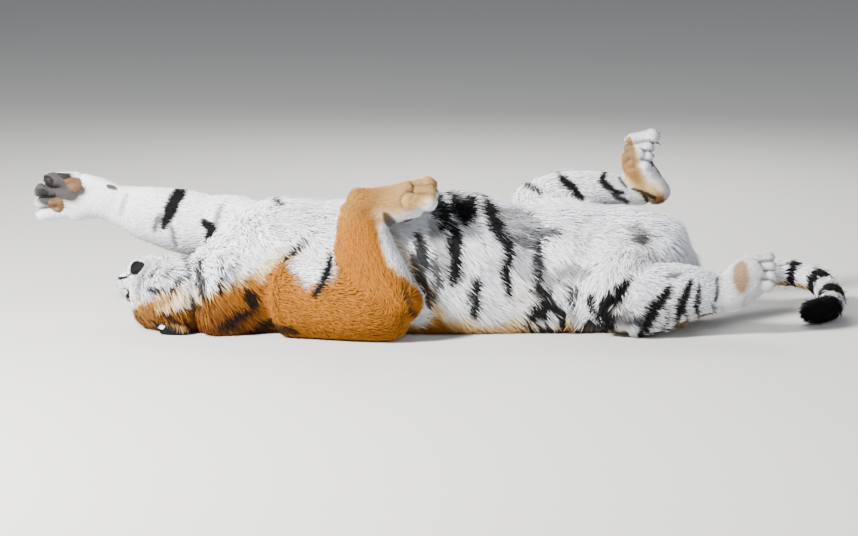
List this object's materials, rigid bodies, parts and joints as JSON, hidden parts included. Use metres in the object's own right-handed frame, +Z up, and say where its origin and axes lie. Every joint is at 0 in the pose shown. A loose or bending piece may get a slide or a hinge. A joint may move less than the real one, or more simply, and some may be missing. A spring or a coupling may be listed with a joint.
{
  "type": "siberian tiger lying on its back",
  "caption": "Life-size still model of a Siberian tiger resting on its back, one foreleg stretched past the head, the other folded, hind legs apart.",
  "frame": {"origin": "on the floor-level flat under the middle of the back", "axes": "+X from the head towards the tail, +Y from the tiger's right side to its left side, +Z up, where the belly faces"},
  "size_m": [2.6691, 0.725, 0.6049],
  "materials": {
    "fur": "matte",
    "nose": "satin",
    "eye": "gloss"
  },
  "bodies": {
    "root": {"head": "fur", "trunk": "fur", "neck": "fur", "forepaw_left": "fur", "forepaw_right": "fur", "hind_foot_left": "fur", "hind_foot_right": "fur", "forearm_left": "fur", "forearm_right": "fur", "shank_left": "fur", "shank_right": "fur", "upper_arm_left": "fur", "upper_arm_right": "fur", "thigh_left": "fur", "thigh_right": "fur", "tail_root": "fur", "tail_middle": "fur", "tail_tip": "fur", "ear_right": "fur", "ear_left": "fur", "nose": "nose", "eye_right": "eye", "eye_left": "eye"}
  },
  "joints": []
}
